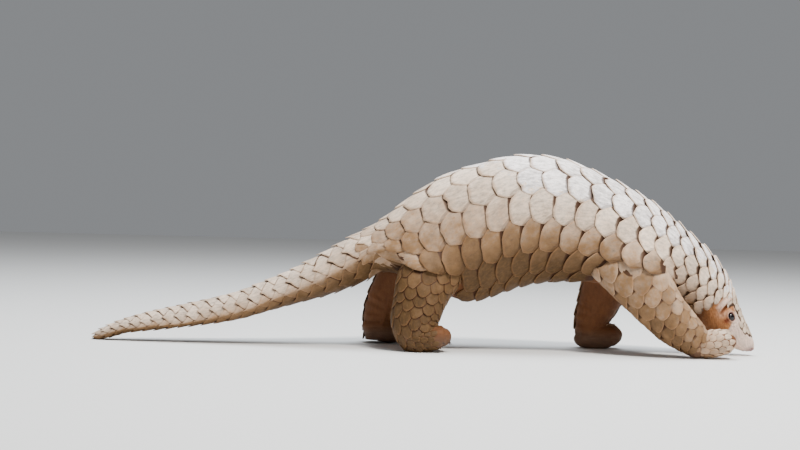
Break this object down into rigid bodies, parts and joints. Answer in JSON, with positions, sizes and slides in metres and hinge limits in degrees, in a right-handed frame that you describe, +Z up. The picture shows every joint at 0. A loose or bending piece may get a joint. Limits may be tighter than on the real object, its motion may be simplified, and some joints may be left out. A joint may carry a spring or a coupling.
{
  "type": "pangolin figure",
  "caption": "Life-size still figure of a walking Sunda pangolin, head down, back arched, scaled tail stretched out behind.",
  "frame": {"origin": "floor level under the middle of the figure's bounding box", "axes": "+X from the tail to the nose, +Y to the animal's left, +Z up"},
  "size_m": [0.8625, 0.1644, 0.2524],
  "materials": {
    "scale": "dusty horn",
    "skin": "bare hide",
    "eye": "wet gloss"
  },
  "bodies": {
    "root": {"head": "scale", "neck": "scale", "torso": "scale", "tail_base": "scale", "tail_middle": "scale", "tail_tip": "scale", "foreleg_right": "scale", "foreleg_left": "scale", "hindleg_right": "scale", "hindleg_left": "scale", "forefoot_right": "skin", "forefoot_left": "skin", "hindfoot_right": "skin", "hindfoot_left": "skin", "ear_right": "skin", "ear_left": "skin", "eye_right": "eye", "eye_left": "eye"}
  },
  "joints": []
}
